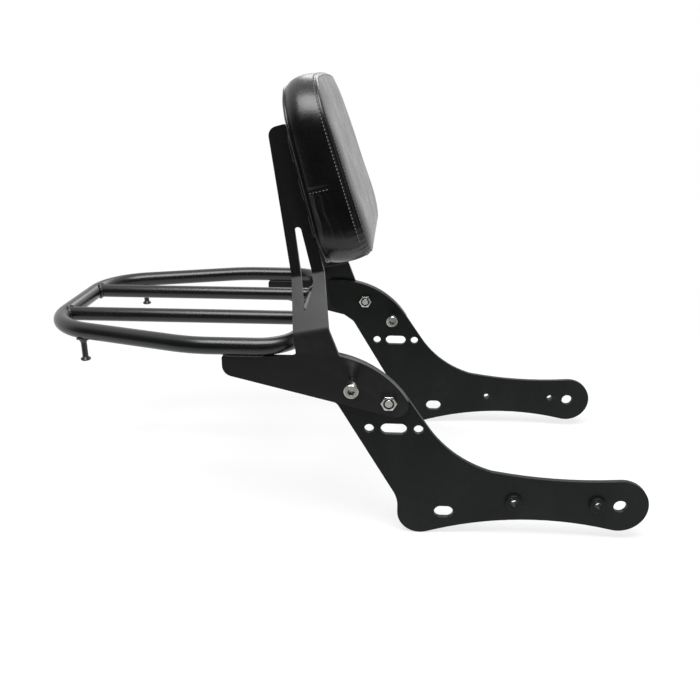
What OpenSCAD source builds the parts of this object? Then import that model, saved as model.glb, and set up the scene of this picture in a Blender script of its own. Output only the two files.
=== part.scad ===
// Passenger backrest with a luggage rack for a cruiser motorcycle.
// Millimetres. X points to the front of the motorcycle, Y to its left side, Z up.
// The origin lies on the axis of the two front eyes, midway between the side plates.

/* [Side plates] */
// Distance between the middle planes of the two side plates
plate_gap = 250; // [200:5:320]
// Thickness of a side plate
plate_t = 5; // [4:0.5:8]
// Radius of the rounded eye at the front end
eye_r = 26.5; // [22:0.5:28]
// Bore of the front eye
eye_bore = 12.4; // [8:0.1:16]
// How far the adjusting holes lie behind the front eye
hub_back = 215.6; // [205:0.2:240]
// How far the adjusting holes lie above the front eye
hub_up = 74.7; // [65:0.1:90]
// Distance between the two round adjusting holes
adjust_pitch = 46; // [40:1:52]
// Diameter of a round adjusting hole
adjust_bore = 9; // [6:0.2:11]
// Length of the slot between the adjusting holes
adjust_slot_l = 24.5; // [16:0.5:28]
// Height of the slot between the adjusting holes
adjust_slot_w = 11; // [7:0.2:12]
// How far the heel slot lies behind the front eye
heel_back = 166; // [158:1:174]
// How far the heel slot lies below the front eye
heel_down = 12; // [6:1:16]
// Length of the heel slot
heel_slot_l = 18.4; // [14:0.2:30]
// Height of the heel slot
heel_slot_w = 12.4; // [8:0.1:14]
// Radius of the dip in the upper side of the arm
arm_over_r = 470; // [420:10:520]
// Radius of the bend in the under side of the arm
arm_under_r = 330; // [290:10:370]

/* [Threaded bosses] */
// How far each boss lies behind the front eye
boss_back = [21.4, 100];
// Height of the bosses above the front eye
boss_up = 2; // [-2:0.5:4]
// Diameter of the boss flange
boss_d = 16; // [12:0.5:20]
// How far the boss stands out of the plate
boss_h = 4; // [2:0.5:8]
// Diameter of the spigot that passes through the plate
boss_spigot_d = 10; // [8.5:0.5:12]
// Core diameter of the thread in the boss
boss_thread = 6.8; // [4:0.1:7.5]

/* [Bent brackets] */
// Thickness of a bracket
bracket_t = 5; // [4:0.5:6]
// Distance between the middle planes of the two uprights
upright_gap = 176; // [150:2:200]
// Lean of the bend lines from the vertical
bend_lean = 12; // [8:1:15]
// Length of the step along the upright
step_l = 43; // [38:1:48]
// Inner radius of each bend
bend_r = 5; // [3:0.5:7]

// How far the rear bracket screw lies behind the middle of the adjusting slot
rear_bolt_back = 37.9; // [34:0.1:40]
// Height of the rear bracket screw above the adjusting slot
rear_bolt_up = 50; // [48:0.5:52]
// How far the front bracket screw lies behind the middle of the adjusting slot
front_bolt_back = 5; // [3:0.5:7]
// Height of the front bracket screw above the adjusting slot
front_bolt_up = 30.3; // [29:0.1:32]
// How far the wing reaches behind the front cross tube
wing_l = 67; // [55:1:80]
// Height of the wing at its rear end
wing_h = 18.4; // [14:0.2:24]
// How far the foot of the pad lies before the front cross tube
upright_ahead = 22.1; // [21:0.1:24]
// Height of the foot of the pad above the rack loop
pad_above = 76.5; // [74:0.5:82]

/* [Rack] */
// Diameter of the rack loop tube
loop_d = 16; // [12:0.5:20]
// Diameter of the two lengthwise bars
bar_d = 14; // [10:0.5:16]
// Wall of the rack tubes
tube_wall = 2; // [1:0.25:3]
// Height of the rack loop above the front eye
rack_up = 154.5; // [145:0.5:165]
// How far the front cross tube lies behind the front eye
rack_front = 305.6; // [298:0.4:318]
// How far the rear cross tube lies behind the front eye
rack_rear = 553.6; // [500:1:620]
// Distance between the tube centres of the rear corners
rack_rear_w = 166.4; // [140:2:200]
// Length of the straight stretch of each rail behind the front cross tube
straight_l = 96; // [80:1:110]
// Distance between the centres of the two bars
bar_gap = 86; // [50:2:110]
// Bend radius at the rear corners of the loop
rear_bend = 60; // [45:1:65]
// Bend radius at the front corners of the loop
front_bend = 36; // [30:1:40]

/* [Lashing pegs] */
// How far the pegs are set back from the rear cross tube
peg_back = 38.5; // [34:0.5:80]
// Length of a peg below its tube
peg_l = 22; // [16:1:35]
// Diameter of the peg stem
peg_d = 5.6; // [4:0.2:8]
// Diameter of the foot of the peg
peg_foot_d = 9.6; // [8:0.2:16]

/* [Backrest] */
// Lean of the pad from the vertical
pad_lean = 14; // [10:1:18]
// Width of the pad
pad_w = 220; // [206:2:260]
// Height of the pad along its back
pad_h = 165; // [155:1:185]
// Thickness of the pad at its top seam
pad_top_t = 30; // [26:0.5:40]
// Thickness of the pad at its bottom seam
pad_bottom_t = 39.5; // [32:0.5:48]
// Height of the crowned front above its seam
pad_crown = 14; // [4:1:18]
// Radius of the upper corners of the pad
pad_corner = 45; // [30:1:52]
// Thickness of the wooden board in the pad
board_t = 9; // [8:0.5:14]
// Thickness of the plate that carries the pad
back_plate_t = 3; // [2:0.5:5]
// Height of the plate that carries the pad
back_plate_h = 100; // [80:2:108]

/* [Fasteners] */
// Diameter of the bracket screws
screw_d = 8; // [6:0.5:8]
// Length of the rear bracket screws under their heads
rear_screw_l = 35; // [20:5:40]
// Length of the front bracket screws under their heads
front_screw_l = 30; // [20:5:35]
// Diameter of the pad screws
pad_screw_d = 6; // [4:0.5:6]
// Distance between the pad screws across the pad
pad_screw_w = 110; // [80:2:140]
// Distance between the pad screws along the pad
pad_screw_h = 60; // [40:2:70]

/* [Hidden] */
$fn = 48;

// Side of the motorcycle as a factor of Y
RIGHT = -1;
LEFT = 1;

// Clearances: screws in their holes, welded pieces against their seats, foam round the board
screw_clear = 0.5;
seat_clear = 0.1;
spigot_clear = 0.05;
foam_clear = 0.3;
// How far a cutter runs past the face that it cuts
past = 1;
// Largest gap between a rounded outline and its true arc
arc_error = 0.06;

// Named points of the side view, measured from the front eye as [x, z]
hub = [-hub_back, hub_up];
heel = [-heel_back, -heel_down];
rear_bolt = hub + [-rear_bolt_back, rear_bolt_up];
front_bolt = hub + [-front_bolt_back, front_bolt_up];

// Planes along Y, on the right-hand side without their sign
plate_out = plate_gap / 2 + plate_t / 2;
plate_in = plate_gap / 2 - plate_t / 2;
bracket_mid = plate_out + bracket_t / 2;
bracket_out = plate_out + bracket_t;

// Unit vector along v
function unit(v) = v / norm(v);

// Half of the angle at corner i of a closed outline of corners [x, y, radius]
function half_angle(c, i) =
    let (n = len(c), q = xy(c[i]), a = unit(xy(c[(i + n - 1) % n]) - q), b = unit(xy(c[(i + 1) % n]) - q))
    acos(max(-1, min(1, a * b))) / 2;
function xy(v) = [v.x, v.y];

// Length that the rounding of corner i takes from each of its two edges
function cut(c, i) = c[i].z / tan(half_angle(c, i));

// Share of its radius that corner i can have while the edges beside it are long enough
function room(c, i) =
    let (n = len(c), before = (i + n - 1) % n, after = (i + 1) % n)
    min(1, 0.98 * norm(xy(c[i]) - xy(c[before])) / (cut(c, i) + cut(c, before)),
        0.98 * norm(xy(c[i]) - xy(c[after])) / (cut(c, i) + cut(c, after)));

// Arc that rounds corner i: [middle, radius, first angle, signed turn]
function corner_arc(c, i) =
    let (n = len(c), q = xy(c[i]), a = unit(xy(c[(i + n - 1) % n]) - q), b = unit(xy(c[(i + 1) % n]) - q),
         half = half_angle(c, i), r = c[i].z * room(c, i),
         middle = q + unit(a + b) * r / sin(half),
         first = q + a * r / tan(half) - middle,
         last = q + b * r / tan(half) - middle,
         turn = atan2(last.y, last.x) - atan2(first.y, first.x))
    [middle, r, atan2(first.y, first.x), turn > 180 ? turn - 360 : turn < -180 ? turn + 360 : turn];

// Points of a closed outline of corners [x, y, radius]
function rounded(c) =
    [for (i = [0 : len(c) - 1])
        let (arc = corner_arc(c, i), r = arc[1],
             steps = max(2, ceil(abs(arc[3]) / (2 * acos(1 - min(arc_error / r, 0.1))))))
        each [for (k = [0 : steps])
            arc[0] + r * [cos(arc[2] + arc[3] * k / steps), sin(arc[2] + arc[3] * k / steps)]]];

// Corner of an outline at a named point plus an offset, with its radius
function at(point, dx, dz, r) = [point.x + dx, point.y + dz, r];

// Where a line from v touches the eye, on its upper (1) or under (-1) side, a hair inside its rim
function eye_touch(v, over) =
    let (r = eye_r - 0.01, turn = over * acos(r / norm(v)), along = r * unit(v))
    [along.x * cos(turn) + along.y * sin(turn), along.y * cos(turn) - along.x * sin(turn), 0.01];

// Corners of the arm where its upper and under sides bend towards the eye
arm_over = [-63.3, eye_r - 4.5];
arm_under = [-91.3, 5.2 - heel_down];

// Outline of a side plate without the rim of its eye, anticlockwise from below the eye
function plate_outline() = rounded([
    eye_touch(arm_under, -1),
    eye_touch(arm_over, 1),
    [arm_over.x, arm_over.y, arm_over_r],
    [-122.8, eye_r + 5.7, 2],
    at(hub, 53.8, -30.1, 112),
    at(hub, -17.8, 75.3, 100),
    at(hub, -84.4, 75.3, 6),
    at(hub, -80.4, 43.3, 10),
    at(hub, -52.4, 23.8, 8),
    at(heel, -44.6, 13.2, 30),
    at(heel, -44.6, -31.2, 22),
    [arm_under.x, arm_under.y, arm_under_r]
]);

// Front edge of the upright in the side view, which is the back of the backrest plate
pad_foot = [-rack_front + upright_ahead, rack_up + pad_above];
pad_up = [-sin(pad_lean), cos(pad_lean)];
pad_out = [cos(pad_lean), sin(pad_lean)];
// Point of the side view at height u along the pad and distance n in front of its back
function pad_point(u, n) = pad_foot + u * pad_up + n * pad_out;

// Top edge of the wing, on which the rack loop is welded
wing_top = rack_up - loop_d / 2 - seat_clear;
upright_top = 118;
upright_foot = -16;

// Outline of a bracket in the side view, anticlockwise from the top of its wing
function bracket_outline() =
    let (tip = pad_point(upright_top, -back_plate_t), foot = pad_point(upright_foot, -back_plate_t))
    rounded([
        [-rack_front - wing_l, wing_top, 3],
        [-rack_front - wing_l, wing_top - wing_h, 10],
        at(hub, 13.6, 10.9, 12),
        at(hub, 12.9, 29.8, 3),
        at(hub, -9.7, 64.5, 95),
        [pad_foot.x + 17.7, hub.y + 73.1, 2],
        at(pad_foot, 8.5, -59, 15),
        [foot.x, foot.y, 10],
        [tip.x, tip.y, 2],
        [tip.x - 15.5, tip.y - 4, 8],
        [-rack_front + 1.3, wing_top, 4]
    ]);

// Tapered slot in the upright, from its narrow round top to its tip in the step
function slot_outline() = rounded([
    at(pad_foot, -32.5, 78.7, 3.1),
    at(pad_foot, -19.8, -25, 15),
    at(pad_foot, -14.7, -50, 1.2),
    at(pad_foot, -8.2, -26, 3)
]);

// Middle of the lower bend line, which every bracket bends about
bend_foot = pad_foot + [-7.3, -62.4];

// Thick profile of the bent sheet across its bend lines, as [y, height along the upright]
function sheet_profile() =
    let (inward = bracket_mid - upright_gap / 2,
         bend = atan2(inward, step_l),
         half = bracket_t / 2,
         shift = half * tan(bend / 2),
         far = 400)
    rounded([
        [-bracket_mid - half, -far, 0.1],
        [-bracket_mid + half, -far, 0.1],
        [-bracket_mid + half, -shift, bend_r],
        [-upright_gap / 2 + half, step_l - shift, bend_r + bracket_t],
        [-upright_gap / 2 + half, far, 0.1],
        [-upright_gap / 2 - half, far, 0.1],
        [-upright_gap / 2 - half, step_l + shift, bend_r],
        [-bracket_mid - half, shift, bend_r + bracket_t]
    ]);

// Stands a drawing of the side view upright and makes it thick, from y0 to y1
module across(y0, y1) {
    translate([0, y1, 0]) rotate([90, 0, 0]) linear_extrude(y1 - y0) children();
}

// Puts a piece drawn for the right-hand side on the given side
module on_side(side) {
    if (side == RIGHT) children();
    else mirror([0, 1, 0]) children();
}

// Round-ended slot of a given length and height in the side view
module slot(l, w) {
    square([l - w, w], center = true);
    for (end = [-1, 1]) translate([end * (l - w) / 2, 0]) circle(d = w);
}

// Flat laser-cut plate with its eye, adjusting holes, heel slot and bolt holes
module side_plate(side) {
    color([0.03, 0.03, 0.035]) on_side(side) across(-plate_out, -plate_in) difference() {
        union() {
            polygon(plate_outline());
            circle(r = eye_r);
        }
        circle(d = eye_bore);
        for (end = [-1, 1]) translate(hub + [end * adjust_pitch / 2, 0]) circle(d = adjust_bore);
        translate(hub) slot(adjust_slot_l, adjust_slot_w);
        translate(heel) slot(heel_slot_l, heel_slot_w);
        for (bolt = [front_bolt, rear_bolt]) translate(bolt) circle(d = screw_d + screw_clear);
        for (back = boss_back) translate([-back, boss_up]) circle(d = boss_spigot_d + 2 * spigot_clear);
    }
}

// Turned boss with a chamfered flange, a spigot and a threaded hole
module boss(side, back) {
    chamfer = 0.8;
    color([0.035, 0.035, 0.04]) on_side(side)
        translate([-back, -plate_out, boss_up]) rotate([90, 0, 0]) rotate_extrude() polygon([
            [boss_thread / 2, -plate_t], [boss_spigot_d / 2, -plate_t], [boss_spigot_d / 2, 0],
            [boss_d / 2, 0], [boss_d / 2, boss_h - chamfer], [boss_d / 2 - chamfer, boss_h],
            [boss_thread / 2, boss_h]
        ]);
}

// Bent bracket: a wing under the rack, a lug on the side plate, a stepped neck and the upright
module bracket(side) {
    reach = 500;
    color([0.035, 0.035, 0.04]) on_side(side) difference() {
        intersection() {
            across(-bracket_out - past, 0) difference() {
                polygon(bracket_outline());
                polygon(slot_outline());
            }
            translate([bend_foot.x, 0, bend_foot.y]) rotate([0, -bend_lean, 0])
                rotate([90, 0, 90]) translate([0, 0, -reach / 2])
                    linear_extrude(reach) polygon(sheet_profile());
        }
        for (bolt = [front_bolt, rear_bolt])
            translate([bolt.x, -plate_out + past, bolt.y]) rotate([90, 0, 0])
                cylinder(d = screw_d + screw_clear, h = bracket_t + 2 * past);
    }
}

// Heights of the screw heads and the nuts
head_h = screw_d;
nut_h = 0.8 * screw_d;
head_d = 1.625 * screw_d;
nut_w = 1.625 * screw_d;

// Socket head cap screw along Z with its head on top and the end of its thread at z = 0
module cap_screw(length) {
    edge = 0.6;
    key = 0.75 * screw_d;
    difference() {
        rotate_extrude() polygon([
            [0, 0], [screw_d / 2 - edge, 0], [screw_d / 2, edge], [screw_d / 2, length],
            [head_d / 2, length], [head_d / 2, length + head_h - edge],
            [head_d / 2 - edge, length + head_h], [0, length + head_h]
        ]);
        translate([0, 0, length + head_h / 2]) cylinder(d = key / cos(30), h = head_h, $fn = 6);
    }
}

// Hexagon nut along Z with a chamfered crown on both faces
module hex_nut() {
    difference() {
        intersection() {
            cylinder(d = nut_w / cos(30), h = nut_h, $fn = 6);
            rotate_extrude() polygon([
                [0, 0], [nut_w / 2 - 0.2, 0], [nut_w / 2 + 1.1, 0.75],
                [nut_w / 2 + 1.1, nut_h - 0.75], [nut_w / 2 - 0.2, nut_h], [0, nut_h]
            ]);
        }
        translate([0, 0, -past]) cylinder(d = screw_d + 2 * spigot_clear, h = nut_h + 2 * past);
    }
}

// Rear screws: heads outside, ends flush with the nuts inside
module rear_screws() {
    color([0.75, 0.76, 0.78]) for (side = [RIGHT, LEFT]) on_side(side)
        translate([rear_bolt.x, -plate_in + nut_h, rear_bolt.y]) rotate([90, 0, 0]) cap_screw(rear_screw_l);
}

// Front screws: heads inside, ends flush with the nuts outside
module front_screws() {
    color([0.75, 0.76, 0.78]) for (side = [RIGHT, LEFT]) on_side(side)
        translate([front_bolt.x, -bracket_out - nut_h, front_bolt.y]) rotate([-90, 0, 0])
            cap_screw(front_screw_l);
}

module hex_nuts() {
    color([0.75, 0.76, 0.78]) for (side = [RIGHT, LEFT]) on_side(side) {
        translate([rear_bolt.x, -plate_in + nut_h, rear_bolt.y]) rotate([90, 0, 0]) hex_nut();
        translate([front_bolt.x, -bracket_out - nut_h, front_bolt.y]) rotate([-90, 0, 0]) hex_nut();
    }
}

// Centre line of the rack loop from above, as corners [x, y, bend radius]
taper_start = rack_front + straight_l;
loop_corners = [
    [-rack_front, -bracket_mid, front_bend],
    [-taper_start, -bracket_mid, 120],
    [-rack_rear, -rack_rear_w / 2, rear_bend],
    [-rack_rear, rack_rear_w / 2, rear_bend],
    [-taper_start, bracket_mid, 120],
    [-rack_front, bracket_mid, front_bend]
];

// Centre line of a closed loop of corners, as stations [point, outward direction]
function stations(c, around) =
    [for (i = [0 : len(c) - 1])
        let (arc = corner_arc(c, i), steps = max(2, ceil(abs(arc[3]) / around)))
        each [for (k = [0 : steps])
            let (way = [cos(arc[2] + arc[3] * k / steps), sin(arc[2] + arc[3] * k / steps)])
            [arc[0] + arc[1] * way, way]]];

// Round bar bent along closed corners in the XY plane
module closed_bar(c, d) {
    sides = 24;
    line = stations(c, 7.5);
    count = len(line);
    polyhedron(
        points = [for (s = line, a = [0 : sides - 1])
            let (out = d / 2 * cos(360 * a / sides))
            [s[0].x + out * s[1].x, s[0].y + out * s[1].y, d / 2 * sin(360 * a / sides)]],
        faces = [for (i = [0 : count - 1], a = [0 : sides - 1])
            let (here = i * sides, there = ((i + 1) % count) * sides, next = (a + 1) % sides)
            [here + a, there + a, there + next, here + next]]
    );
}

// Bent loop of tube, closed on itself, so its sealed inside is left solid
module rack_loop() {
    color([0.05, 0.05, 0.05]) translate([0, 0, rack_up]) closed_bar(loop_corners, loop_d);
}

// Straight tube with both ends coped to the cross tubes, the rear one beside its bend
module rack_bar(side) {
    bend = corner_arc(loop_corners, 2);
    bend_start = max(bend[0].y, -bar_gap / 2);
    color([0.05, 0.05, 0.05]) on_side(side) translate([0, 0, rack_up]) difference() {
        translate([-rack_rear, -bar_gap / 2, 0]) rotate([0, 90, 0])
            cylinder(d = bar_d, h = rack_rear - rack_front);
        translate([-rack_rear - past, -bar_gap / 2, 0]) rotate([0, 90, 0])
            cylinder(d = bar_d - 2 * tube_wall, h = rack_rear - rack_front + 2 * past);
        translate([-rack_front, -bar_gap / 2, 0]) rotate([90, 0, 0])
            cylinder(d = loop_d + 2 * seat_clear, h = 2 * bar_d, center = true);
        translate([bend[0].x, bend_start, 0]) rotate([0, 0, 120]) rotate_extrude(angle = 120)
            translate([bend[1], 0]) circle(d = loop_d + 2 * seat_clear);
    }
}

// Turned peg with a mushroom foot, its flared root fitted where the rail begins its rear bend
module lash_peg(side) {
    taper = atan2(bracket_mid - rack_rear_w / 2, rack_rear - taper_start);
    back = rack_rear - peg_back;
    out = bracket_mid - (back - taper_start) * tan(taper);
    root_d = 11;
    bend = corner_arc(loop_corners, 2);
    color([0.05, 0.05, 0.05]) on_side(side) difference() {
        translate([-back, -out, rack_up]) rotate_extrude() polygon([
            [0, -loop_d / 2 - peg_l], [peg_foot_d / 2 - 0.6, -loop_d / 2 - peg_l],
            [peg_foot_d / 2, -loop_d / 2 - peg_l + 0.6], [peg_foot_d / 2, -loop_d / 2 - peg_l + 1.6],
            [peg_d / 2, -loop_d / 2 - peg_l + 3.4], [peg_d / 2, -loop_d / 2 - 4],
            [root_d / 2, -loop_d / 2 + 1], [0, -loop_d / 2 + 1]
        ]);
        translate([bend[0].x, bend[0].y, rack_up]) rotate_extrude()
            translate([bend[1], 0]) circle(d = loop_d + 2 * seat_clear);
    }
}

// Puts a drawing of the pad's front view, [y, height along the pad], at distance n from its back
module on_pad(n) {
    translate([pad_point(0, n).x, 0, pad_point(0, n).y]) rotate([0, -pad_lean, 0])
        rotate([90, 0, 90]) children();
}

// Middle of the plate and its screws, measured up the pad
plate_middle = 62;
screw_spots = [for (y = [-1, 1], u = [-1, 1]) [y * pad_screw_w / 2, plate_middle + u * pad_screw_h / 2]];

// Plate welded on the front edges of the uprights
module backrest_plate() {
    w = upright_gap + bracket_t + 10;
    low = plate_middle - back_plate_h / 2;
    high = plate_middle + back_plate_h / 2;
    color([0.035, 0.035, 0.04]) on_pad(-back_plate_t) linear_extrude(back_plate_t - seat_clear / 2)
        difference() {
            polygon(rounded([[-w / 2, low, 12], [w / 2, low, 12], [w / 2, high, 12], [-w / 2, high, 12]]));
            for (spot = screw_spots) translate(spot) circle(d = pad_screw_d + screw_clear);
        }
}

washer_t = 1.2;
pad_screw_l = 12;

module pad_screws() {
    key_w = 1.65 * pad_screw_d;
    under = -back_plate_t - washer_t;
    color([0.08, 0.08, 0.085]) for (spot = screw_spots) on_pad(under) translate(spot) {
        cylinder(d = pad_screw_d, h = pad_screw_l);
        translate([0, 0, -0.65 * pad_screw_d]) cylinder(d = key_w / cos(30), h = 0.65 * pad_screw_d, $fn = 6);
    }
}

module pad_washers() {
    color([0.08, 0.08, 0.085]) for (spot = screw_spots) on_pad(-back_plate_t - washer_t) translate(spot)
        difference() {
            cylinder(d = 2.2 * pad_screw_d, h = washer_t);
            translate([0, 0, -past]) cylinder(d = pad_screw_d + screw_clear, h = washer_t + 2 * past);
        }
}

tee_d = 20;
tee_t = 1.5;
tee_barrel = pad_screw_d + 2.4;

// Flanged nuts pressed into the front of the board
module tee_nuts() {
    color([0.55, 0.5, 0.4]) for (spot = screw_spots) on_pad(0) translate(spot) rotate_extrude() polygon([
        [pad_screw_d / 2 + spigot_clear, 1], [tee_barrel / 2, 1], [tee_barrel / 2, board_t - tee_t],
        [tee_d / 2, board_t - tee_t], [tee_d / 2, board_t], [pad_screw_d / 2 + spigot_clear, board_t]
    ]);
}

board_inset = 8;
// Bottom of the pad, measured up its back from its foot
pad_low = -12.5;

// Front view of the pad, drawn in by a margin on every side
function pad_front(margin) =
    let (w = pad_w / 2 - margin, top = pad_low + pad_h - margin, low = pad_low + margin,
         r = max(6, pad_corner - margin))
    rounded([[-w, low, r * 0.8], [w, low, r * 0.8], [w, top, r], [-w, top, r]]);

// Outline of the pad shrunk by a factor towards the middle of its crown
function pad_ring(f) =
    let (middle = pad_low + 0.38 * pad_h)
    [for (p = pad_front(0)) [f * p.x, middle + f * (p.y - middle)]];

// Plywood board behind the foam, with holes and recesses for the flanged nuts
module pad_board() {
    color([0.4, 0.3, 0.2]) on_pad(0) difference() {
        linear_extrude(board_t) polygon(pad_front(board_inset));
        for (spot = screw_spots) translate(spot) {
            translate([0, 0, -past]) cylinder(d = tee_barrel + 2 * spigot_clear, h = board_t + 2 * past);
            translate([0, 0, board_t - tee_t - spigot_clear]) cylinder(d = tee_d + 2 * spigot_clear, h = board_t);
        }
    }
}

// Foam and cover: a wedge with a crowned front, hollow at the back for the board
module pad_cushion() {
    wedge = atan2(pad_bottom_t - pad_top_t, pad_h);
    thin = 0.1;
    color([0.02, 0.02, 0.02]) difference() {
        hull() {
            on_pad(0) linear_extrude(thin) polygon(pad_front(4));
            on_pad(7) linear_extrude(thin) polygon(pad_front(0));
            translate([pad_point(pad_low, pad_bottom_t).x, 0, pad_point(pad_low, pad_bottom_t).y])
                rotate([0, -pad_lean - wedge, 0]) rotate([90, 0, 90]) translate([0, -pad_low, 0]) {
                    translate([0, 0, -5]) linear_extrude(thin) polygon(pad_front(0));
                    for (f = [0.985, 0.9, 0.78, 0.63, 0.45, 0.25])
                        translate([0, 0, pad_crown * (1 - f * f)]) linear_extrude(thin) polygon(pad_ring(f));
                }
        }
        on_pad(-past) linear_extrude(board_t + foam_clear + past) polygon(pad_front(board_inset - foam_clear));
    }
}

side_plate(RIGHT);  // side_plate_right
side_plate(LEFT);  // side_plate_left
boss(RIGHT, boss_back[0]);  // boss_front_right
boss(RIGHT, boss_back[1]);  // boss_rear_right
boss(LEFT, boss_back[0]);  // boss_front_left
boss(LEFT, boss_back[1]);  // boss_rear_left
bracket(RIGHT);  // bracket_right
bracket(LEFT);  // bracket_left
rear_screws();
front_screws();
hex_nuts();
rack_loop();
rack_bar(RIGHT);  // rack_bar_right
rack_bar(LEFT);  // rack_bar_left
lash_peg(RIGHT);  // lash_peg_right
lash_peg(LEFT);  // lash_peg_left
backrest_plate();
pad_screws();
pad_washers();
tee_nuts();
pad_board();
pad_cushion();
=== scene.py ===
import math

import bpy
import numpy as np
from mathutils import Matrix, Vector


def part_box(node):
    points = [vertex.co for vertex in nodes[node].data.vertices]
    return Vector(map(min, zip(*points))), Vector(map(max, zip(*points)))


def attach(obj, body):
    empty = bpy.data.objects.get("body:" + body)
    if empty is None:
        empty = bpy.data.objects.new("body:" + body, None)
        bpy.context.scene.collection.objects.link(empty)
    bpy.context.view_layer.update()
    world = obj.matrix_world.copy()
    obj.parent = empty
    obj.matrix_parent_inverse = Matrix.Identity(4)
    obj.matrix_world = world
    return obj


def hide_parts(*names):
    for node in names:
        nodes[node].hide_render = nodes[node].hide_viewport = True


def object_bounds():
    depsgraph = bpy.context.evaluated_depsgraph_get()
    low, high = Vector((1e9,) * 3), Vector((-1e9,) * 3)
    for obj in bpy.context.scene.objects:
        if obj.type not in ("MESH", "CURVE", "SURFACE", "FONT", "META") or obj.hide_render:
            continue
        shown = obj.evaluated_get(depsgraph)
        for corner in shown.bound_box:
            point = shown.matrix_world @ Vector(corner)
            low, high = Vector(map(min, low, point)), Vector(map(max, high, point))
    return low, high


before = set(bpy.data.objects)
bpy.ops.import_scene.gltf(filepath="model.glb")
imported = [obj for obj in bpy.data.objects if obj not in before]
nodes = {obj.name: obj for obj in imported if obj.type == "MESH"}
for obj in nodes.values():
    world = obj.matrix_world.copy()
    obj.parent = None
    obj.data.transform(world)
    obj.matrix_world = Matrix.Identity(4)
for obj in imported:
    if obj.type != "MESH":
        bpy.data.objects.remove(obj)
cad_low, cad_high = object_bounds()

# Side plates. Two flat steel plates, cut by laser and powder coated satin black.
# Each has a round eye in front and a row of adjusting holes. The coat is thin and
# slightly pebbled. Its sharp edges are painted lighter, partly as wear where hands and straps
# rub them and partly as a painted highlight where they catch the light.


def new_group(name, inputs, outputs):
    """Shader node group with named inputs (name, kind, default) and outputs (name, kind)."""
    group = bpy.data.node_groups.new(name, "ShaderNodeTree")
    for label, kind, default in inputs:
        socket = group.interface.new_socket(label, in_out="INPUT", socket_type="NodeSocket" + kind)
        socket.default_value = default
    for label, kind in outputs:
        group.interface.new_socket(label, in_out="OUTPUT", socket_type="NodeSocket" + kind)
    start = group.nodes.new("NodeGroupInput")
    end = group.nodes.new("NodeGroupOutput")
    return group, start, end


def shader_node(tree, kind, settings=None, **inputs):
    """A node of a kind, with its settings, and with values or links on its inputs. An input is
    named by its label, with _ for a space, or by the letter i and its number."""
    made = tree.nodes.new("ShaderNode" + kind)
    for key, value in (settings or {}).items():
        setattr(made, key, value)
    for key, value in inputs.items():
        label = key.replace("_", " ")
        socket = made.inputs[label if label in made.inputs else int(key[1:])]
        if isinstance(value, bpy.types.NodeSocket):
            tree.links.new(value, socket)
        else:
            socket.default_value = value
    return made


def math_node(tree, operation, first, second=0.5, third=0.0):
    """Output of a Math node of the given operation."""
    made = shader_node(tree, "Math", {"operation": operation}, i0=first, i1=second, i2=third)
    return made.outputs[0]


def object_point(tree, scale=(1.0, 1.0, 1.0)):
    """Object coordinates in metres, stretched by a scale."""
    here = shader_node(tree, "TexCoord").outputs["Object"]
    return shader_node(tree, "Mapping", None, Vector=here, Scale=scale).outputs[0]


def fading(tree, value, start, end, first=0.0, last=1.0, way="LINEAR"):
    """A number that goes from a first value to a last one while another number goes from a start
    to an end, and stays the same beyond them."""
    made = shader_node(
        tree, "MapRange", {"interpolation_type": way},
        Value=value, From_Min=start, From_Max=end, To_Min=first, To_Max=last
    )
    return made.outputs[0]


pebble, p_in, p_out = new_group(
    "pebbled_coat",
    [("Point", "Vector", (0, 0, 0)), ("Grain", "Float", 900.0), ("Patch", "Float", 14.0)],
    [("Height", "Float"), ("Patches", "Float"), ("Specks", "Float")],
)
peel = shader_node(
    pebble, "TexNoise", None,
    Vector=p_in.outputs["Point"], Scale=p_in.outputs["Grain"], Detail=2.0, Roughness=0.55
)
broad = shader_node(
    pebble, "TexNoise", None,
    Vector=p_in.outputs["Point"], Scale=p_in.outputs["Patch"], Detail=4.0, Roughness=0.6
)
dots = shader_node(pebble, "TexVoronoi", None, Vector=p_in.outputs["Point"], Scale=420.0)
speck = fading(pebble, dots.outputs["Distance"], 0.05, 0.12, 1.0, 0.0)
in_patch = fading(pebble, broad.outputs[0], 0.52, 0.62)
pebble.links.new(peel.outputs[0], p_out.inputs["Height"])
pebble.links.new(broad.outputs[0], p_out.inputs["Patches"])
pebble.links.new(math_node(pebble, "MULTIPLY", speck, in_patch), p_out.inputs["Specks"])

# Mask of the sharp edges, found by pointiness and broken by noise, for a lighter edge colour that is partly
# rub wear and partly a painted highlight.
lit_and_rubbed, e_in, e_out = new_group(
    "rubbed_and_lit_edges",
    [("Point", "Vector", (0, 0, 0)), ("Start", "Float", 0.52), ("End", "Float", 0.6)],
    [("Mask", "Float")],
)
sharpness = shader_node(lit_and_rubbed, "NewGeometry").outputs["Pointiness"]
edge = fading(lit_and_rubbed, sharpness, e_in.outputs["Start"], e_in.outputs["End"])
broken = shader_node(lit_and_rubbed, "TexNoise", None, Vector=e_in.outputs["Point"], Scale=160.0, Detail=3.0)
lit_and_rubbed.links.new(math_node(lit_and_rubbed, "MULTIPLY", edge, broken.outputs[0]), e_out.inputs["Mask"])


def place_group(tree, group, **inputs):
    """A node group placed in a material with its own values."""
    made = tree.nodes.new("ShaderNodeGroup")
    made.node_tree = group
    for key, value in inputs.items():
        if isinstance(value, bpy.types.NodeSocket):
            tree.links.new(value, made.inputs[key])
        else:
            made.inputs[key].default_value = value
    return made


def new_material(name):
    """Empty material with its tree, its Principled shader and object coordinates."""
    made = bpy.data.materials.new(name)
    made.use_nodes = True
    tree = made.node_tree
    return made, tree, tree.nodes["Principled BSDF"], object_point(tree)


def blend_colours(tree, mask, low, high):
    """Colour between two, by a mask."""
    return shader_node(tree, "Mix", {"data_type": "RGBA"}, i0=mask, i6=low, i7=high).outputs[2]


DUST = (0.16, 0.155, 0.15, 1)
# Lighter coat colour on sharp edges: rub wear and a painted highlight.
EDGE_WEAR_AND_HIGHLIGHT = (0.09, 0.09, 0.092, 1)


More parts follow.
